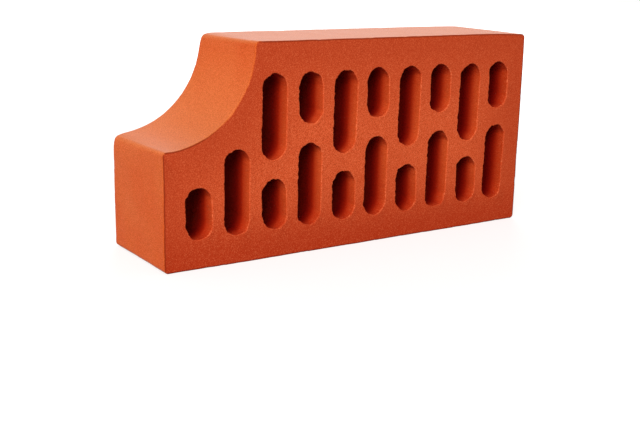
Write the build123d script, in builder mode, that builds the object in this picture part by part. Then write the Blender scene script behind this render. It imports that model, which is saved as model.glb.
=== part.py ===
"""A single-format shaped facing brick of fired clay, extruded and wire-cut, as it stands on its back stretcher face.

The section is drawn in the XZ plane and runs straight through the brick's thickness, along Y, as the clay column
leaves its die. X is the brick's length and Z is the width of its bed. The cove takes the upper corner at -X.
The origin is at the middle of the face that the brick stands on.
"""

from build123d import *
from math import floor, hypot
import os

# Overall sizes of a single-format brick, in millimetres
length = 250.0
bed_width = 120.0
thickness = 65.0

# The moulded corner: a quarter-round cove about the corner that the plain brick would have
cove_radius = 55.0
cove_lip_radius = 2.5

# The die rounds the three square corners of the section
corner_radius = 2.5

# Slots run right through the thickness, with full-round ends, in columns of one long and one short
slot_width = 15.5
slot_web = 7.7
short_slot = 28.5
slot_gap = 11.0

# Walls that are left round the slots: to the moulded and the back stretcher faces, and the least to the two ends
# and to the cove
face_wall = 17.5
back_wall = 16.0
end_wall = 12.0
cove_wall = 8.0

# What the sizes above leave for the long slots, and the columns that fit between the end walls
long_slot = bed_width - face_wall - back_wall - slot_gap - short_slot
slot_pitch = slot_width + slot_web
columns = floor((length - 2 * end_wall + slot_web) / slot_pitch)

cove_centre = (-length / 2, bed_width)


def column_slots(column):
    """The two slots of a column, as (x, z of the centre, length): the long one is on top in every other column."""
    x = (column - (columns - 1) / 2) * slot_pitch
    upper, lower = (long_slot, short_slot) if column % 2 == 0 else (short_slot, long_slot)
    return [
        (x, bed_width - face_wall - upper / 2, upper),
        (x, back_wall + lower / 2, lower),
    ]


def clears_cove(x, z, slot_length):
    """True where a slot leaves at least the cove wall between itself and the cove."""
    half_spine = (slot_length - slot_width) / 2
    top_end = z + half_spine
    wall = hypot(x - cove_centre[0], top_end - cove_centre[1]) - cove_radius - slot_width / 2
    return wall >= cove_wall


slots = [slot for column in range(columns) for slot in column_slots(column) if clears_cove(*slot)]

with BuildPart() as brick:
    # Section of the clay column: a rectangle less the cove, its corners eased by the die
    with BuildSketch(Plane.XZ) as section:
        with Locations((0, bed_width / 2)):
            Rectangle(length, bed_width)
        with Locations(cove_centre):
            Circle(cove_radius, mode=Mode.SUBTRACT)
        square_corners = section.vertices().sort_by_distance(cove_centre)[2:]
        fillet(square_corners, corner_radius)
        cove_ends = section.vertices().sort_by_distance(cove_centre)[:2]
        fillet(cove_ends, cove_lip_radius)
        for x, z, slot_length in slots:
            with Locations((x, z)):
                SlotOverall(slot_length, slot_width, rotation=90, mode=Mode.SUBTRACT)
    # The two bed faces are cut square across the column by the wire
    extrude(amount=thickness / 2, both=True)

brick.part.label = "brick"

os.makedirs("parts", exist_ok=True)
export_step(brick.part, "parts/brick.step")
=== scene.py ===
"""A shaped facing brick of fired clay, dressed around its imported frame, with its stage, lights and camera.

The die has left the outside smooth, the wire has cut the two bed faces and pulled at the rims of the slots,
and the core pins have drawn the slot walls. All sizes are in metres in the frame's own axes: X along the
brick, Y through it from the near bed face to the far one, and Z up.
"""

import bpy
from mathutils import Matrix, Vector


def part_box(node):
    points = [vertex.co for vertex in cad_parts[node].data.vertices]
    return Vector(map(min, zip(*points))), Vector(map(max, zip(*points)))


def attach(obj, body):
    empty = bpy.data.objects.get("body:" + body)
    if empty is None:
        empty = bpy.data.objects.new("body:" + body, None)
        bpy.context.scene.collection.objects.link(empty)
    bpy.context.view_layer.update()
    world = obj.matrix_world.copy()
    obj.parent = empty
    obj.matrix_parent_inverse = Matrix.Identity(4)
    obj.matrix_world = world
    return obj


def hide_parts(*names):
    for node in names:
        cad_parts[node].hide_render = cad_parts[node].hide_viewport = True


bl_info = {
    "name": "Coved facing brick",
    "version": (1, 0, 0),
    "blender": (4, 5, 0),
    "location": "View3D > Sidebar > Brick",
    "description": "Makes a coved, slotted clay facing brick and the stage that it is shown on",
    "category": "Add Mesh",
}

import itertools
import math

import bmesh
import bpy
import numpy as np
from bpy.props import FloatProperty, FloatVectorProperty, IntProperty, PointerProperty
from mathutils import Matrix, Vector

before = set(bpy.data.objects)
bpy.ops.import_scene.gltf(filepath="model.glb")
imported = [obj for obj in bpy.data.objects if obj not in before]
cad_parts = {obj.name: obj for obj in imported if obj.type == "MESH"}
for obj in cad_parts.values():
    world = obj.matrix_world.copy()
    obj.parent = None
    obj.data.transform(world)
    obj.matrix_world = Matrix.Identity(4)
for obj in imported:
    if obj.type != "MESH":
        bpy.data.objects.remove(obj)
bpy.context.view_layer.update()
brick_low, brick_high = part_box("brick")
brick_length, brick_thickness, brick_bed_width = (high - low for low, high in zip(brick_low, brick_high))

mm = 0.001

# Width of the picture in pixels
IMAGE_WIDTH = 640

# Spacing of the grains of sand: the real ones are finer, and are drawn as coarse as the picture can show
GRAIN = 0.5 * mm

# The lamps' places, and the point in the brick that both are aimed at
KEY_PLACE = (-1.82, -1.53, 1.12)
BACK_PLACE = (0.9, 1.4, 1.2)
LAMP_AIM = (0, 0, 0.06)

# The floor's paper as the camera sees it, and the dimmer grey that it bounces onto the brick
SEEN_PAPER = "B4B2B0"
BOUNCING_PAPER = "605E5C"

# Half of the floor's side
FLOOR_HALF = 3.0


def linear(hex_colour):
    """The linear red, green and blue of an sRGB hex colour such as "C8502B"."""
    srgb = [int(hex_colour[place : place + 2], 16) / 255 for place in (0, 2, 4)]
    return tuple(part / 12.92 if part <= 0.04045 else ((part + 0.055) / 1.055) ** 2.4 for part in srgb)


def length_setting(name, description, default):
    """A setting that is a length in metres."""
    return FloatProperty(
        name=name, description=description, default=default, unit="LENGTH", subtype="DISTANCE"
    )


def angle_setting(name, description, degrees):
    """A setting that is an angle, kept in radians."""
    return FloatProperty(name=name, description=description, default=math.radians(degrees), subtype="ANGLE")


def power_setting(name, description, default):
    """A setting that is a lamp's power in watts."""
    return FloatProperty(name=name, description=description, default=default, unit="POWER")


def colour_setting(name, description, hex_colour):
    """A setting that is a colour, kept linear."""
    return FloatVectorProperty(
        name=name, description=description, default=linear(hex_colour), size=3, min=0, max=1, subtype="COLOR"
    )


class BrickSizes(bpy.types.PropertyGroup):
    """Sizes of the brick, its slots and its edges."""

    length: length_setting("Length", "Brick from end to end", brick_length)
    bed_width: length_setting("Bed width", "Brick from the face it stands on to its top", brick_bed_width)
    thickness: length_setting("Thickness", "Brick from bed face to bed face", brick_thickness)
    cove_radius: length_setting("Cove radius", "Quarter-round cove about the corner it replaces", 55 * mm)
    corner_radius: length_setting("Corner radius", "Rounding that the die gives the corners", 2.5 * mm)
    slot_width: length_setting("Slot width", "Slot across its flanks", 15.5 * mm)
    slot_web: length_setting("Slot web", "Clay between two columns of slots", 7.7 * mm)
    short_slot: length_setting("Short slot", "Short slot from end to end", 28.5 * mm)
    slot_gap: length_setting("Slot gap", "Clay between the two slots of a column", 11 * mm)
    face_wall: length_setting("Face wall", "Clay above the slots", 17.5 * mm)
    back_wall: length_setting("Back wall", "Clay below the slots", 16 * mm)
    end_wall: length_setting("End wall", "Least clay beyond the first and last column", 12 * mm)
    arris: length_setting("Arris", "Rounding of the outer edge that the wire leaves", 0.4 * mm)
    rim: length_setting("Slot rim", "Rounding of a slot's rim", 0.25 * mm)
    tear: length_setting("Tear", "Deepest notch that the wire tears in a rim", 0.55 * mm)
    burr: length_setting("Burr", "Height of the clay dragged up on the far flank of a slot", 0.15 * mm)
    step: length_setting("Mesh step", "Largest spacing of points along an edge", 0.9 * mm)
    seed: IntProperty(name="Seed", description="Seed of the tears, burrs and waves", default=7)


class BrickColours(bpy.types.PropertyGroup):
    """Colours of the fired clay, with the painted light and shade laid over it."""

    skin: colour_setting("Die skin", "Smooth clay that slid along the die", "DA591E")
    skin_pale: colour_setting("Die skin, pale", "Paler drifts of the smooth clay", "DD652B")
    # Painted light, not dust: a paler coat on faces that point up, in place of the light that falls on them
    # from above
    skin_painted_top_light: colour_setting("Die skin, dusty", "Smooth clay that faces up, under kiln dust", "D3733A")
    cut: colour_setting("Wire cut", "Sandy clay that the wire opened, among the slots", "E95D30")
    # Painted shade: the cut face is given this darker, redder colour towards the outer walls so that the
    # middle looks lit; it is also the colour of the slow redder patches
    cut_patches_and_painted_edge_shade: colour_setting("Wire cut, outer", "Denser cut clay of the outer walls", "CE4822")
    # Painted shade: darker, redder cut clay towards the face that the brick stands on; also the colour of the
    # die skin's faint drag lines
    cut_drag_and_painted_low_shade: colour_setting("Wire cut, low", "Cut clay close to the face it stands on", "C13613")
    # Also laid along the slots' rims as a painted highlight where they catch the light
    grit_pale_and_rim_glint: colour_setting("Pale grit", "Paler grains of sand", "FF8A58")
    grit_dark: colour_setting("Dark grit", "Darker grains of sand", "A02800")
    # Painted shade: a dark line along the outer arrises, where the rounded edges turn from the light and meet
    # the floor
    arris: colour_setting("Arris", "Clay that wire and die dragged dark along the outer edges", "7E1A06")
    slot: colour_setting("Slot wall", "Clay drawn by the core pins, near the rim", "DE5423")
    # Painted shade: slot walls darker towards the outer walls, following the painted light of the cut face
    slot_painted_edge_shade: colour_setting("Slot wall, outer", "The same clay towards the outer walls", "C43810")
    # Painted shade: dark red on the slots' round ends, fully where the wall faces down, and laid on with
    # depth
    slot_painted_end_shade: colour_setting("Slot end", "The same clay at a slot's round ends, drawn the tightest", "B41D02")
    # Painted shade: the dark of the slots' depth, in place of the shade in the recess; also the colour of the
    # drag lines on the slot walls
    slot_drag_and_painted_deep_shade: colour_setting("Slot wall, deep", "Less oxidised clay in the depth of a slot", "860501")
    # Painted light: lifts the painted deep shade at the middle of the thickness
    slot_painted_middle_light: colour_setting("Slot wall, middle", "Browner clay at the middle of a slot's depth", "B0280E")


class StageSettings(bpy.types.PropertyGroup):
    """Camera and lamps."""

    azimuth: angle_setting("Azimuth", "Camera's turn about Z from looking along +Y", 33.84)
    elevation: angle_setting("Elevation", "Camera's tilt down", 14.1)
    roll: angle_setting("Roll", "Camera's turn about its own axis", 1.17)
    place: FloatVectorProperty(
        name="Place",
        description="Camera's place",
        default=(-0.3464, -0.5081, 0.1656),
        size=3,
        subtype="XYZ",
        unit="LENGTH",
    )
    focal_pixels: FloatProperty(
        name="Focal length", description="Focal length in pixels of the image", default=1032
    )
    key_power: power_setting("Key lamp", "Power of the lamp at the front left", 65)
    back_power: power_setting("Back lamp", "Power of the lamp that skims the top from behind", 18)
    fill: FloatProperty(name="Fill", description="Strength of the studio's all-round light", default=0.43)


def lattice_noise(points, pitch, seed):
    """Smooth noise from -1 to 1: random values on a cubic lattice of that pitch, blended by the curve
    3t^2 - 2t^3 between the eight corners round each point."""
    scaled = points / pitch
    base = np.floor(scaled).astype(np.int64)
    blend = scaled - base
    blend = blend * blend * (3 - 2 * blend)
    total = np.zeros(len(points))
    for corner in itertools.product((0, 1), repeat=3):
        cell = base + np.array(corner)
        mixed = cell[:, 0] * 73856093 ^ cell[:, 1] * 19349663 ^ cell[:, 2] * 83492791 ^ seed * 26544357
        mixed = (mixed ^ mixed >> 13) * 1274126177 & 0x7FFFFFFF
        value = (mixed >> 8 & 0xFFFF) / 32767.5 - 1
        weight = np.prod(np.where(np.array(corner) == 1, blend, 1 - blend), axis=1)
        total += value * weight
    return total


def smooth(value, low, high):
    """0 below low, 1 above high, and the curve 3t^2 - 2t^3 between."""
    part = np.clip((value - low) / (high - low), 0, 1)
    return part * part * (3 - 2 * part)


def line(start, end, step):
    """Points evenly along a straight line, no further apart than step, without the last one."""
    start, end = np.array(start), np.array(end)
    count = max(1, math.ceil(np.linalg.norm(end - start) / step - 1e-6))
    return start + (end - start) * (np.arange(count) / count)[:, None]


def arc(centre, radius, first, last, step, size=None):
    """Points evenly along an arc from angle first to angle last, spaced for a circle of radius size, without
    the last one."""
    count = max(1, math.ceil(abs(last - first) * (size or radius) / step - 1e-6))
    angle = first + (last - first) * np.arange(count) / count
    return np.array(centre) + radius * np.stack([np.cos(angle), np.sin(angle)], axis=1)


class Layout:
    """Where the section's columns, slots, dividing walls and outline lie, all in the XZ plane."""

    def __init__(self, sizes):
        self.sizes = sizes
        self.half = sizes.length / 2
        self.top = sizes.bed_width
        self.long_slot = self.top - sizes.face_wall - sizes.back_wall - sizes.slot_gap - sizes.short_slot
        self.pitch = sizes.slot_width + sizes.slot_web
        self.columns = math.floor((sizes.length - 2 * sizes.end_wall + sizes.slot_web) / self.pitch + 1e-6)
        # The cove leaves no room for an upper slot before this column
        self.first_full = 2
        self.cove_centre = np.array([-self.half, self.top])
        # Heights of the middle of the gap between a column's two slots
        half_gap = sizes.slot_gap / 2
        self.splits = [sizes.back_wall + low + half_gap for low in (sizes.short_slot, self.long_slot)]

    def column_x(self, column):
        """Middle of a column."""
        return (column - (self.columns - 1) / 2) * self.pitch

    def wall_x(self, column):
        """Middle of the web after a column."""
        return self.column_x(column) + self.pitch / 2

    def is_long(self, column, upper):
        """True for a column's long slot, which is on top in every other column."""
        return (column % 2 == 0) == upper

    def slot(self, column, upper):
        """(x, z of the centre, length) of a slot."""
        size = self.long_slot if self.is_long(column, upper) else self.sizes.short_slot
        z = self.top - self.sizes.face_wall - size / 2 if upper else self.sizes.back_wall + size / 2
        return self.column_x(column), z, size

    def cove_angle(self, point):
        """Angle at which a point of the section is seen from the cove's centre."""
        offset = np.array(point) - self.cove_centre
        return math.atan2(offset[1], offset[0])

    def outline(self, inset):
        """The section's outline, moved in by inset, as one run of points for each outer side of a cell,
        counterclockwise as seen from the near side. Each run ends where the next starts. Every inset gives as
        many points."""
        sizes, step, half, top = self.sizes, self.sizes.step, self.half, self.top
        corner = sizes.corner_radius
        reach = math.sqrt((sizes.cove_radius + corner) ** 2 - corner**2)
        cove = sizes.cove_radius
        lip_angle = math.atan2(corner, reach)
        low_lip = (-half + corner, top - reach)
        high_lip = (-half + reach, top - corner)
        high_divide, low_divide = self.cove_divides()
        last = self.columns - 1
        split = self.splits[last % 2]

        def round_corner(x, z, first):
            return arc((x, z), corner - inset, first, first + math.pi / 2, step / 3, corner)

        def cove_run(first, last_angle):
            return arc(self.cove_centre, cove + inset, first, last_angle, step, cove)

        def flat(start, end, nominal_start, nominal_end):
            count = max(1, math.ceil(math.dist(nominal_start, nominal_end) / step - 1e-6))
            part = (np.arange(count) / count)[:, None]
            return np.array(start) + (np.array(end) - np.array(start)) * part

        def side(x, inward, first, second):
            return flat((x + inward, first), (x + inward, second), (x, first), (x, second))

        def bottom(first, second):
            return flat((first, inset), (second, inset), (first, 0), (second, 0))

        def ceiling(first, second):
            return flat((first, top - inset), (second, top - inset), (first, top), (second, top))

        runs = {}
        runs["foot", 0] = np.concatenate(
            [
                cove_run(low_divide, -math.pi / 2 + lip_angle),
                arc(low_lip, corner - inset, math.pi / 2 + lip_angle, math.pi, step / 3, corner),
                side(-half, inset, top - reach, corner),
                round_corner(-half + corner, corner, math.pi),
                bottom(-half + corner, self.wall_x(0)),
            ]
        )
        for column in range(1, last):
            runs["foot", column] = bottom(self.wall_x(column - 1), self.wall_x(column))
        runs["foot", last] = np.concatenate(
            [
                bottom(self.wall_x(last - 1), half - corner),
                round_corner(half - corner, corner, -math.pi / 2),
                side(half, -inset, corner, split),
            ]
        )
        runs["head", last] = np.concatenate(
            [
                side(half, -inset, split, top - corner),
                round_corner(half - corner, top - corner, 0),
                ceiling(half - corner, self.wall_x(last - 1)),
            ]
        )
        for column in range(last - 1, self.first_full, -1):
            runs["head", column] = ceiling(self.wall_x(column), self.wall_x(column - 1))
        runs["head", self.first_full] = np.concatenate(
            [
                ceiling(self.wall_x(self.first_full), high_lip[0]),
                arc(high_lip, corner - inset, math.pi / 2, math.pi - lip_angle, step / 3, corner),
                cove_run(-lip_angle, high_divide),
            ]
        )
        runs["cove", 1] = cove_run(high_divide, low_divide)
        return runs

    def cove_divides(self):
        """Angles on the cove where the cells of the first three columns meet it."""
        high = self.cove_angle((self.wall_x(1), self.splits[1]))
        low = -math.acos((self.wall_x(0) + self.half) / self.sizes.cove_radius)
        return high, low

    def cells(self):
        """Each slot with the closed loop of points round its cell, counterclockwise: (column, upper, loop).
        Cells that touch share the points between them."""
        step = self.sizes.step
        inset = self.sizes.arris
        runs = self.outline(inset)
        last = self.columns - 1
        high_divide, low_divide = self.cove_divides()
        reach = self.sizes.cove_radius + inset

        def on_cove(angle):
            return tuple(self.cove_centre + reach * np.array([math.cos(angle), math.sin(angle)]))

        def chain(points):
            return np.concatenate([line(a, b, step) for a, b in zip(points, points[1:])])

        webs = {0: [(self.wall_x(0), inset), on_cove(low_divide)]}
        for column in range(1, last):
            x = self.wall_x(column)
            above = on_cove(high_divide) if column == 1 else (x, self.top - inset)
            webs[column] = [(x, inset), (x, self.splits[0]), (x, self.splits[1]), above]
        # The end wall stands in for the web after the last column
        webs[last] = [None] + [(self.half - inset, split) for split in self.splits] + [None]

        second = [runs["foot", 1], chain(webs[1]), runs["cove", 1], chain(webs[0][::-1])]
        cells = [
            (0, False, np.concatenate([runs["foot", 0], chain(webs[0])])),
            (1, False, np.concatenate(second)),
        ]
        for column in range(self.first_full, self.columns):
            level = 1 + column % 2
            left, right = webs[column - 1], webs[column]
            up = [] if column == last else [chain(right[: level + 1])]
            back = chain([right[level], left[level]])
            lower = [runs["foot", column], *up, back, chain(left[level::-1])]
            cells.append((column, False, np.concatenate(lower)))
            up = [] if column == last else [chain(right[level:])]
            across = chain([left[level], right[level]])
            upper = [across, *up, runs["head", column], chain(left[: level - 1 : -1])]
            cells.append((column, True, np.concatenate(upper)))
        return cells


def quarter_round(radius, count):
    """(distance from the wall, depth) of points round a quarter circle, from the face to the wall."""
    angle = np.linspace(0, math.pi / 2, count)
    return radius * (1 - np.sin(angle)), radius * (1 - np.cos(angle))


def slot_surface(layout, column, upper, loop):
    """One slot with its cell on both bed faces, as a closed loop carried along a profile: in across the near
    face, round the rim, through the brick, round the far rim and out across the far face. A point is its
    nearest place on the slot's spine, plus its outward direction times the sum of half the slot's width and
    the point's distance from the wall. Returns the points as rows by loop points by 3, how much of each is
    rim, and the first and last row of the wall."""
    sizes = layout.sizes
    x, z, size = layout.slot(column, upper)
    half_width = sizes.slot_width / 2
    spine = size / 2 - half_width
    nearest = np.stack([np.full(len(loop), x), np.clip(loop[:, 1], z - spine, z + spine)], axis=1)
    away = loop - nearest
    reach = np.linalg.norm(away, axis=1)
    outward = away / reach[:, None]
    room = reach - half_width

    # Rings on a bed face: two at the cell's edge, two close to the rim, and on the near face one between
    inner, outer = 1.9 * mm, room - 0.7 * mm
    rim_off, rim_depth = quarter_round(sizes.rim, 4)
    rings = [room, outer, inner + (outer - inner) * 0.5]
    rings += [np.full(len(loop), value) for value in (inner, 0.9 * mm)]
    bed = {"near": rings, "far": rings[:2] + rings[3:]}
    # Rows of the wall lie closest where it meets the beds
    wall_depths = np.array([1.6, 4, 9, 18, sizes.thickness / mm - 12, sizes.thickness / mm - 3]) * mm
    off = bed["near"] + [np.full(len(loop), value) for value in rim_off]
    depth = [0.0] * len(bed["near"]) + list(rim_depth)
    wall_first = len(off) - 1
    off += [np.zeros(len(loop)) for _ in wall_depths]
    depth += list(wall_depths)
    wall_last = len(off)
    off += [np.full(len(loop), value) for value in rim_off[::-1]] + bed["far"][::-1]
    depth += list(sizes.thickness - rim_depth[::-1]) + [sizes.thickness] * len(bed["far"])
    off, depth = np.array(off), np.array(depth)[:, None] + np.zeros(len(loop))
    fade = 1 - smooth(off / room, 0.05, 0.95)

    # The pins wander a little: the slot is moved, leant and made out of round, the same all the way through.
    # The tops of long slots lean towards the plain end, and those of short ones the other way
    random = np.random.default_rng(sizes.seed * 100 + column * 2 + upper)
    usual_lean = 0.018 if layout.is_long(column, upper) else -0.018
    lean = usual_lean + random.uniform(-0.012, 0.012)
    shift = random.uniform(-0.4, 0.4, 2) * mm
    around = np.arctan2(outward[:, 1], outward[:, 0])
    waves = 0
    for order in (3, 4, 5, 6, 7):
        height, turn = random.uniform(0.04, 0.14) * mm, random.uniform(0, 2 * math.pi)
        waves = waves + height * np.cos(order * around + turn)
    wander = shift + lean * np.stack([nearest[:, 1] - z, np.zeros(len(loop))], axis=1)

    # Tears are deepest on the flank that the wire met first, and die out inside the slot
    on_rim = nearest + outward * half_width
    rim_place = np.stack([on_rim[:, 0], np.zeros(len(loop)), on_rim[:, 1]], axis=1)
    coarse = lattice_noise(rim_place, 3.2 * mm, sizes.seed)
    fine = lattice_noise(rim_place, 1.3 * mm, sizes.seed + 1)
    met_first = smooth(-outward[:, 0], -0.6, 0.8)
    notch = sizes.tear * np.clip(coarse * 0.45 + fine * 0.8, -0.25, 1) * (0.45 + 0.55 * met_first)
    from_bed = np.minimum(depth, sizes.thickness - depth)
    tear = notch * np.exp(-from_bed / (1.3 * mm))

    # Burrs stand proud of the near face on the other flank, broken along their length
    broken = smooth(lattice_noise(rim_place, 2.4 * mm, sizes.seed + 2), -0.5, 0.4)
    proud = smooth(outward[:, 0], -0.2, 0.7) * broken
    burr = sizes.burr * proud * np.exp(-(((off - 0.7 * mm) / (0.6 * mm)) ** 2))

    place = nearest + outward * (half_width + off)[..., None]
    place = place + fade[..., None] * (wander + outward * (waves + tear)[..., None])
    is_near = depth < sizes.thickness / 2
    y = depth - sizes.thickness / 2 - np.where(is_near, burr, 0)
    points = np.stack([place[..., 0], y, place[..., 1]], axis=2)
    # How much of each point gets the rims' pale grit and painted highlight: most on the flank that faces the
    # key lamp
    rim = np.exp(-(off / (0.5 * mm)) - from_bed / (0.7 * mm))
    rim *= (0.3 + 0.7 * smooth(outward[:, 0], -0.3, 0.6)) * smooth(coarse + fine, -0.9, 0.7)
    return points, rim, wall_first, wall_last


def skin_surface(layout):
    """The outside that the die smoothed: the section's outline carried from bed to bed, drawn in at both ends
    along a quarter circle, which rounds the outer arris."""
    sizes = layout.sizes
    inset, depth = quarter_round(sizes.arris, 4)
    runs = max(2, round(sizes.thickness / (4 * mm)))
    middle = np.linspace(1.5 * mm, sizes.thickness - 1.5 * mm, runs)
    insets = np.concatenate([inset, np.zeros(runs), inset[::-1]])
    depths = np.concatenate([depth, middle, sizes.thickness - depth[::-1]])
    section = np.array([np.concatenate(list(layout.outline(value).values())) for value in insets])
    y = depths[:, None] - sizes.thickness / 2 + np.zeros(section.shape[1])
    return np.stack([section[..., 0], y, section[..., 1]], axis=2)


def warp(points, layout):
    """How drying and handling moved the clay, as a field over the whole brick, so that what touches stays
    together: slow waves and short ones, a sagging top corner, cove ends that soften towards the far bed, and
    small knocks on the arrises."""
    sizes = layout.sizes
    seed = sizes.seed
    moved = points.copy()
    slow_wave, short_wave = 0.14 * mm, 0.11 * mm
    for axis in range(3):
        moved[:, axis] += slow_wave * lattice_noise(points, 38 * mm, seed + 10 + axis)
        moved[:, axis] += short_wave * lattice_noise(points, 9 * mm, seed + 20 + axis)

    # The top corner at the plain end sags
    sag = 0.9 * mm
    end = smooth(points[:, 0], layout.half - 40 * mm, layout.half)
    height = smooth(points[:, 2], layout.top - 45 * mm, layout.top)
    near = 1 - smooth(points[:, 1], -sizes.thickness / 2, 0)
    moved[:, 2] -= sag * end * end * height * (0.4 + 0.6 * near)

    # Cove ends: crisp at the near bed and worn back along the diagonal at the far one
    through = (points[:, 1] + sizes.thickness / 2) / sizes.thickness
    inward = np.array([1, -1]) / math.sqrt(2)
    low_end = (-layout.half, layout.top - sizes.cove_radius)
    high_end = (-layout.half + sizes.cove_radius, layout.top)
    for x, z in (low_end, high_end):
        away = np.hypot(points[:, 0] - x, points[:, 2] - z)
        back = (-0.35 + 1.7 * through) * mm * np.exp(-((away / (4.2 * mm)) ** 2))
        moved[:, 0] += back * inward[0]
        moved[:, 2] += back * inward[1]

    # Knocks on the outer arrises
    from_bed = sizes.thickness / 2 - np.abs(points[:, 1])
    chips = lattice_noise(points, 5 * mm, seed + 30) * 0.6 + lattice_noise(points, 2 * mm, seed + 31) * 0.5
    knock = smooth(chips, 0.1, 0.8) * np.exp(-from_bed / (0.7 * mm)) * 0.4 * mm
    centre = np.array([0, 0, layout.top / 2])
    direction = centre - points
    direction[:, 1] = 0
    direction /= np.linalg.norm(direction, axis=1)[:, None] + 1e-9
    knock *= 1 - smooth(from_outline(points, layout), 0.6 * mm, 2 * mm)
    moved += direction * knock[:, None]
    moved[:, 2] = np.maximum(moved[:, 2], 0)
    return moved


def from_cove(points, layout):
    """How far outside the cove's circle each point lies."""
    x, z = layout.cove_centre
    return np.hypot(points[:, 0] - x, points[:, 2] - z) - layout.sizes.cove_radius


def from_outline(points, layout):
    """How far inside the section's outline each point lies."""
    x, z = points[:, 0], points[:, 2]
    inside = np.minimum(np.minimum(x + layout.half, layout.half - x), np.minimum(z, layout.top - z))
    return np.minimum(inside, from_cove(points, layout))


def clay_shares(points, layout):
    """How much of each point is outer arris, the mask of a painted shade line along the edges of the two bed
    faces that fades up the cove, and how much lies among the slots rather than in the outer walls, the mask
    of the painted light that brightens the middle."""
    from_bed = layout.sizes.thickness / 2 - np.abs(points[:, 1])
    outline = from_outline(points, layout)
    # Mask of the painted shade along the outer arrises, faded up the cove
    arris = (1 - smooth(outline, 0.45 * mm, 1 * mm)) * (1 - smooth(from_bed, 0.15 * mm, 0.4 * mm))
    on_cove = 1 - smooth(from_cove(points, layout), 1 * mm, 5 * mm)
    arris *= 1 - 0.85 * on_cove * smooth(points[:, 2], layout.top - 52 * mm, layout.top - 40 * mm)
    return {"arris": arris, "inner": np.clip((outline - 7 * mm) / (41 * mm), 0, 1)}


def grid_faces(rows, columns, start, flip):
    """Quads of a grid whose columns close on themselves, as indices from start. They face the other way if
    flip is set."""
    row, column = np.meshgrid(np.arange(rows - 1), np.arange(columns), indexing="ij")
    beside = (column + 1) % columns
    here, next_row = row * columns, (row + 1) * columns
    corners = [here + column, here + beside, next_row + beside, next_row + column]
    faces = np.stack(corners, axis=-1).reshape(-1, 4) + start
    return faces[:, ::-1] if flip else faces


def brick_mesh(sizes):
    """The whole brick as one closed mesh, with a material number for each face, and how much of each point is
    slot rim, outer arris and inner clay."""
    layout = Layout(sizes)
    points, rims, faces, finishes = [], [], [], []
    start = 0
    for column, upper, loop in layout.cells():
        grid, rim, wall_first, wall_last = slot_surface(layout, column, upper, loop)
        rows, count = grid.shape[:2]
        finish = np.ones(rows - 1, dtype=int)
        finish[wall_first:wall_last] = 2
        points.append(grid.reshape(-1, 3))
        rims.append(rim.ravel())
        faces.append(grid_faces(rows, count, start, False))
        finishes.append(np.repeat(finish, count))
        start += rows * count
    grid = skin_surface(layout)
    rows, count = grid.shape[:2]
    points.append(grid.reshape(-1, 3))
    rims.append(np.zeros(rows * count))
    faces.append(grid_faces(rows, count, start, True))
    finishes.append(np.zeros((rows - 1) * count, dtype=int))
    points = np.concatenate(points)
    shares = {"rim": np.concatenate(rims), **clay_shares(points, layout)}

    mesh = bpy.data.meshes.new("fired_brick")
    mesh.from_pydata(warp(points, layout), [], np.concatenate(faces))
    mesh.polygons.foreach_set("material_index", np.concatenate(finishes).astype(np.int32))
    for name, share in shares.items():
        mesh.attributes.new(name, "FLOAT", "POINT").data.foreach_set("value", share.astype(np.float32))
    welded = bmesh.new()
    welded.from_mesh(mesh)
    bmesh.ops.remove_doubles(welded, verts=welded.verts, dist=2e-6)
    if any(edge.is_boundary for edge in welded.edges):
        raise RuntimeError("the brick's mesh has an open edge")
    welded.to_mesh(mesh)
    welded.free()
    mesh.shade_smooth()
    return mesh


def add_node(tree, kind, inputs=None, output=0, **settings):
    """Adds a node with its settings, and returns one of its outputs. Each of inputs names or numbers a socket
    and gives its value or the output that it is linked to."""
    node = tree.nodes.new(kind)
    for name, value in settings.items():
        setattr(node, name, value)
    for socket, value in (inputs or {}).items():
        if isinstance(value, bpy.types.NodeSocket):
            tree.links.new(value, node.inputs[socket])
        else:
            node.inputs[socket].default_value = value
    return node.outputs[output] if node.outputs else None


def new_material(name):
    """An empty node material with its Object coordinates, straight and turned. On the turned ones no face of
    the brick lies along a noise texture's own lattice, where the noise would fade."""
    material = bpy.data.materials.new(name)
    material.use_nodes = True
    tree = material.node_tree
    tree.nodes.clear()
    place = add_node(tree, "ShaderNodeTexCoord", output="Object")
    turned = add_node(tree, "ShaderNodeMapping", {"Vector": place, "Rotation": (0.4, 0.7, 0.3)})
    return material, tree, place, turned


def finish_material(tree, colour, bump, roughness, gloss, sheen):
    """The matte shader that every face of the brick has."""
    inputs = {
        "Base Color": colour,
        "Roughness": roughness,
        "IOR": 1.5,
        "Specular IOR Level": gloss,
        "Sheen Weight": sheen,
        "Sheen Roughness": 0.3,
        "Normal": bump,
    }
    shader = add_node(tree, "ShaderNodeBsdfPrincipled", inputs)
    add_node(tree, "ShaderNodeOutputMaterial", {"Surface": shader})


def coated(tree, colour, share, low, high, most, coat):
    """A colour with a coat of another: none of it where share is at low, and as much as most from high on."""
    inputs = {"Value": share, "From Min": low, "From Max": high, "To Max": most}
    amount = add_node(tree, "ShaderNodeMapRange", inputs)
    # The mix node's sockets for colours share their names with its others, so they go by number
    return add_node(tree, "ShaderNodeMix", {0: amount, 6: colour, 7: (*coat, 1)}, 2, data_type="RGBA")


def sanded(tree, colour, sand, colours, most):
    """A colour with paler and darker grains of sand, each laid on by up to most."""
    colour = coated(tree, colour, sand, 0.5, 0.72, most, colours.grit_pale_and_rim_glint)
    return coated(tree, colour, sand, 0.5, 0.28, most, colours.grit_dark)


def painted_arris_shade(tree, colour, colours):
    """A colour with painted shade along the outer arrises, where the arris attribute is high."""
    share = add_node(tree, "ShaderNodeAttribute", output="Fac", attribute_name="arris")
    return coated(tree, colour, share, 0, 1, 0.75, colours.arris)


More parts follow.
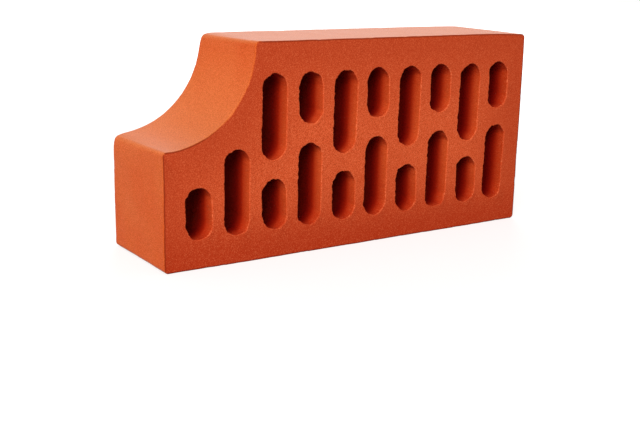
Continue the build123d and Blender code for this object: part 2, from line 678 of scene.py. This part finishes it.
def rim_grit_and_painted_highlight(tree, turned, colour, colours):
    """A colour with pale grains of about 1 mm along the slots' rims, where the rim attribute is high: grit,
    and a painted highlight where the rims catch the light.
    """
    grains = add_node(tree, "ShaderNodeTexNoise", {"Vector": turned, "Scale": 1 / (1.1 * mm), "Detail": 1})
    inputs = {"Value": grains, "From Min": 0.48, "From Max": 0.62, "To Max": 0.65}
    grains = add_node(tree, "ShaderNodeMapRange", inputs)
    share = add_node(tree, "ShaderNodeAttribute", output="Fac", attribute_name="rim")
    return coated(tree, colour, share, 0.3, 0.9, grains, colours.grit_pale_and_rim_glint)


def die_skin(colours):
    """Fired clay that slid along an oiled die: smooth and close, with fine grit, a soft bloom, faint drag
    lines along the brick's thickness, slow drifts from orange to a paler clay, and painted light where it
    faces up: a paler coat in place of the light from above. Painted shade darkens its outer arrises."""
    material, tree, place, turned = new_material("die_smoothed_clay")
    drift = add_node(tree, "ShaderNodeTexNoise", {"Vector": turned, "Scale": 1 / (34 * mm), "Detail": 3})
    drawn = add_node(tree, "ShaderNodeMapping", {"Vector": place, "Scale": (1, 0.06, 1)})
    drag = add_node(tree, "ShaderNodeTexNoise", {"Vector": drawn, "Scale": 1 / (1.8 * mm), "Detail": 3})
    sand = add_node(tree, "ShaderNodeTexNoise", {"Vector": turned, "Scale": 1 / GRAIN, "Detail": 1})
    facing = add_node(tree, "ShaderNodeTexCoord", output="Normal")
    up = add_node(tree, "ShaderNodeSeparateXYZ", {"Vector": facing}, "Z")
    colour = coated(tree, (*colours.skin, 1), drift, 0.35, 0.68, 1, colours.skin_pale)
    # Painted light: the more a face points up, the paler it is made
    colour = coated(tree, colour, up, 0, 1, 1, colours.skin_painted_top_light)
    colour = coated(tree, colour, drag, 0.35, 0.7, 0.1, colours.cut_drag_and_painted_low_shade)
    colour = sanded(tree, colour, sand, colours, 0.45)
    colour = painted_arris_shade(tree, colour, colours)
    height = add_node(tree, "ShaderNodeMath", {0: sand, 1: drag}, operation="ADD")
    bump = add_node(tree, "ShaderNodeBump", {"Height": height, "Strength": 0.35, "Distance": 0.12 * mm})
    finish_material(tree, colour, bump, roughness=0.6, gloss=0.05, sheen=0.27)
    return material


def wire_cut(colours):
    """Fired clay that a wire opened: a sandy face of paler and darker grit with slow patches of a redder
    clay, finer towards the outer walls. Painted light makes it orange among the slots, and painted shade
    makes it redder towards the outer walls and the face that it stands on, and dark along the outer arrises.
    Pale grit and a painted highlight lie along the slots' rims."""
    material, tree, place, turned = new_material("wire_cut_clay")
    patch = add_node(tree, "ShaderNodeTexNoise", {"Vector": turned, "Scale": 1 / (42 * mm), "Detail": 3})
    sand = add_node(tree, "ShaderNodeTexNoise", {"Vector": turned, "Scale": 1 / GRAIN, "Detail": 1})
    inner = add_node(tree, "ShaderNodeAttribute", output="Fac", attribute_name="inner")
    height = add_node(tree, "ShaderNodeSeparateXYZ", {"Vector": place}, "Z")
    sandiness = add_node(tree, "ShaderNodeMapRange", {"Value": inner, "To Min": 0.34, "To Max": 0.58})
    # Painted light: orange among the slots, darker and redder towards the outer walls
    colour = coated(tree, (*colours.cut_patches_and_painted_edge_shade, 1), inner, 0, 1, 1, colours.cut)
    # Painted shade: darker towards the face that it stands on
    colour = coated(tree, colour, height, 28 * mm, 4 * mm, 1, colours.cut_drag_and_painted_low_shade)
    colour = coated(tree, colour, patch, 0.35, 0.7, 0.15, colours.cut_patches_and_painted_edge_shade)
    colour = sanded(tree, colour, sand, colours, sandiness)
    colour = rim_grit_and_painted_highlight(tree, turned, colour, colours)
    colour = painted_arris_shade(tree, colour, colours)
    bump = add_node(tree, "ShaderNodeBump", {"Height": sand, "Strength": 0.5, "Distance": 0.15 * mm})
    finish_material(tree, colour, bump, roughness=0.9, gloss=0.1, sheen=0.0)
    return material


def slot_wall(colours, sizes):
    """Fired clay drawn by the core pins, with rough lines that run into the depth, under painted shade:
    redder, then dark with depth, and less dark and browner again at the middle of the thickness; darker
    towards the outer walls; dark red on the round ends from the rim on. The painted dark starts a little
    sooner towards the plain end and in the slots' lower ends. Pale grit and a painted highlight lie along
    the rims."""
    material, tree, place, turned = new_material("pin_drawn_clay")
    drawn = add_node(tree, "ShaderNodeMapping", {"Vector": place, "Scale": (1, 0.12, 1)})
    lines = {"Vector": drawn, "Scale": 1 / (0.8 * mm), "Detail": 3, "Roughness": 0.6}
    drag = add_node(tree, "ShaderNodeTexNoise", lines)
    sand = add_node(tree, "ShaderNodeTexNoise", {"Vector": turned, "Scale": 1 / GRAIN, "Detail": 1})
    inner = add_node(tree, "ShaderNodeAttribute", output="Fac", attribute_name="inner")
    facing = add_node(tree, "ShaderNodeTexCoord", output="Normal")
    up = add_node(tree, "ShaderNodeSeparateXYZ", {"Vector": facing}, "Z")
    # Painted shade: darker towards the outer walls
    colour = coated(tree, (*colours.slot_painted_edge_shade, 1), inner, 0, 1, 1, colours.slot)
    # Painted shade: dark red where the wall faces down, and less of it at the lower ends
    colour = coated(tree, colour, up, 0, -1, 1, colours.slot_painted_end_shade)
    colour = coated(tree, colour, up, 0.2, 1, 0.55, colours.slot_painted_end_shade)
    colour = coated(tree, colour, drag, 0.35, 0.7, 0.2, colours.slot_drag_and_painted_deep_shade)
    colour = sanded(tree, colour, sand, colours, 0.25)

    # Painted shade that comes with depth is laid on as the distance from the middle of the thickness falls
    half = sizes.thickness / 2
    along = add_node(tree, "ShaderNodeSeparateXYZ", {"Vector": place}, "X")
    through = add_node(tree, "ShaderNodeSeparateXYZ", {"Vector": place}, "Y")
    offset = add_node(tree, "ShaderNodeMath", {0: through}, operation="ABSOLUTE")
    colour = coated(tree, colour, offset, half - 2.5 * mm, half - 9.5 * mm, 0.9, colours.slot_painted_end_shade)
    # The painted deep shade starts a little sooner towards the plain end and in the slots' lower ends
    lower_end = add_node(tree, "ShaderNodeMapRange", {"Value": up, "From Min": 0.2})
    reached = offset
    for share, sooner in ((along, 0.02), (lower_end, 3 * mm)):
        inputs = {0: share, 1: -sooner, 2: reached}
        reached = add_node(tree, "ShaderNodeMath", inputs, operation="MULTIPLY_ADD")
    colour = coated(tree, colour, reached, half - 6 * mm, half - 16 * mm, 1, colours.slot_drag_and_painted_deep_shade)
    # Painted light: the middle of the depth is made less dark
    colour = coated(tree, colour, offset, 18 * mm, 6 * mm, 1, colours.slot_painted_middle_light)
    colour = rim_grit_and_painted_highlight(tree, turned, colour, colours)
    height = add_node(tree, "ShaderNodeMath", {0: sand, 1: drag}, operation="ADD")
    bump = add_node(tree, "ShaderNodeBump", {"Height": height, "Strength": 0.6, "Distance": 0.4 * mm})
    finish_material(tree, colour, bump, roughness=0.95, gloss=0.05, sheen=0.0)
    return material


def put_in_scene(name, data):
    """An object of that data at the origin, linked to the scene."""
    piece = bpy.data.objects.new(name, data)
    bpy.context.scene.collection.objects.link(piece)
    return piece


class BRICK_OT_fire_brick(bpy.types.Operator):
    """Makes the brick's mesh and its three clay finishes, and puts it in place of the plain solid"""

    bl_idname = "brick.fire_brick"
    bl_label = "Fire the brick"

    def execute(self, context):
        sizes = context.scene.brick_sizes
        colours = context.scene.brick_colours
        mesh = brick_mesh(sizes)
        for material in (die_skin(colours), wire_cut(colours), slot_wall(colours, sizes)):
            mesh.materials.append(material)
        piece = put_in_scene("fired_brick", mesh)
        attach(piece, "root")
        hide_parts("brick")
        return {"FINISHED"}


def seen_ray(tree):
    """1 for a ray that shows the background: one straight from the camera, reflected, or through glass."""
    seen = add_node(tree, "ShaderNodeLightPath", output="Is Camera Ray")
    for kind in ("Is Glossy Ray", "Is Transmission Ray"):
        other = add_node(tree, "ShaderNodeLightPath", output=kind)
        seen = add_node(tree, "ShaderNodeMath", {0: seen, 1: other}, operation="MAXIMUM")
    return seen


def stage_floor():
    """A pale matte floor: seen straight on it is white but for the brick's soft shadow."""
    corners = [(x * FLOOR_HALF, y * FLOOR_HALF, 0) for x, y in ((-1, -1), (1, -1), (1, 1), (-1, 1))]
    mesh = bpy.data.meshes.new("floor")
    mesh.from_pydata(corners, [], [(0, 1, 2, 3)])
    material = bpy.data.materials.new("white_paper")
    material.use_nodes = True
    tree = material.node_tree
    tree.nodes.clear()
    place = add_node(tree, "ShaderNodeTexCoord", output="Object")
    away = add_node(tree, "ShaderNodeVectorMath", {0: place}, "Value", operation="LENGTH")

    # The paper glows a little less round the brick, so that the shadow shows, and is full white further off
    inputs = {"Value": away, "From Min": 0.25, "To Min": 0.66}
    glow = add_node(tree, "ShaderNodeMapRange", inputs)
    glowing = add_node(tree, "ShaderNodeEmission", {"Color": (1, 1, 1, 1), "Strength": glow})
    paper = add_node(tree, "ShaderNodeBsdfDiffuse", {"Color": (*linear(SEEN_PAPER), 1)})
    seen = add_node(tree, "ShaderNodeAddShader", {0: paper, 1: glowing})
    bouncing = add_node(tree, "ShaderNodeBsdfDiffuse", {"Color": (*linear(BOUNCING_PAPER), 1)})
    shader = add_node(tree, "ShaderNodeMixShader", {0: seen_ray(tree), 1: bouncing, 2: seen})
    add_node(tree, "ShaderNodeOutputMaterial", {"Surface": shader})
    mesh.materials.append(material)
    put_in_scene("floor", mesh)


def stage_world(fill):
    """An even white studio: full white where the camera sees it, and a softer fill as light."""
    world = bpy.data.worlds.new("studio")
    world.use_nodes = True
    tree = world.node_tree
    tree.nodes.clear()
    strength = add_node(tree, "ShaderNodeMapRange", {"Value": seen_ray(tree), "To Min": fill})
    background = add_node(tree, "ShaderNodeBackground", {"Color": (1, 1, 1, 1), "Strength": strength})
    add_node(tree, "ShaderNodeOutputWorld", {"Surface": background})
    bpy.context.scene.world = world


def stage_lamp(name, place, size, power):
    """A square soft lamp at place, turned to the brick."""
    lamp = bpy.data.lights.new(name, "AREA")
    lamp.size = size
    lamp.energy = power
    holder = put_in_scene(name, lamp)
    holder.location = place
    holder.rotation_euler = (Vector(LAMP_AIM) - Vector(place)).to_track_quat("-Z", "Y").to_euler()


def stage_camera(settings):
    """The camera at its place, turned by its azimuth, elevation and roll."""
    data = bpy.data.cameras.new("camera")
    data.sensor_width = 36
    data.lens = settings.focal_pixels / IMAGE_WIDTH * data.sensor_width
    camera = put_in_scene("camera", data)
    turn = (
        Matrix.Rotation(-settings.azimuth, 4, "Z")
        @ Matrix.Rotation(math.pi / 2 - settings.elevation, 4, "X")
        @ Matrix.Rotation(settings.roll, 4, "Z")
    )
    camera.matrix_world = Matrix.Translation(Vector(settings.place)) @ turn
    bpy.context.scene.camera = camera


class BRICK_OT_set_stage(bpy.types.Operator):
    """Lays the floor and sets up the camera, the lamps and the studio's light"""

    bl_idname = "brick.set_stage"
    bl_label = "Set the stage"

    def execute(self, context):
        settings = context.scene.brick_stage
        stage_floor()
        stage_world(settings.fill)
        stage_lamp("key_lamp", KEY_PLACE, size=1.4, power=settings.key_power)
        stage_lamp("back_lamp", BACK_PLACE, size=1.0, power=settings.back_power)
        stage_camera(settings)
        context.scene.view_settings.view_transform = "Standard"
        return {"FINISHED"}


class BRICK_PT_panel(bpy.types.Panel):
    """Settings and steps of the brick"""

    bl_idname = "BRICK_PT_panel"
    bl_label = "Coved facing brick"
    bl_space_type = "VIEW_3D"
    bl_region_type = "UI"
    bl_category = "Brick"

    def draw(self, context):
        layout = self.layout
        for operator in OPERATORS:
            layout.operator(operator.bl_idname)
        for settings in (context.scene.brick_sizes, context.scene.brick_colours, context.scene.brick_stage):
            box = layout.box()
            for name in settings.__annotations__:
                box.prop(settings, name)


OPERATORS = (BRICK_OT_set_stage, BRICK_OT_fire_brick)
CLASSES = (BrickSizes, BrickColours, StageSettings, *OPERATORS, BRICK_PT_panel)


def register():
    for part in CLASSES:
        bpy.utils.register_class(part)
    bpy.types.Scene.brick_sizes = PointerProperty(type=BrickSizes)
    bpy.types.Scene.brick_colours = PointerProperty(type=BrickColours)
    bpy.types.Scene.brick_stage = PointerProperty(type=StageSettings)


def unregister():
    del bpy.types.Scene.brick_stage
    del bpy.types.Scene.brick_colours
    del bpy.types.Scene.brick_sizes
    for part in reversed(CLASSES):
        bpy.utils.unregister_class(part)


def main():
    """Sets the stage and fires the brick."""
    register()
    bpy.ops.brick.set_stage()
    bpy.ops.brick.fire_brick()


if __name__ == "__main__":
    main()
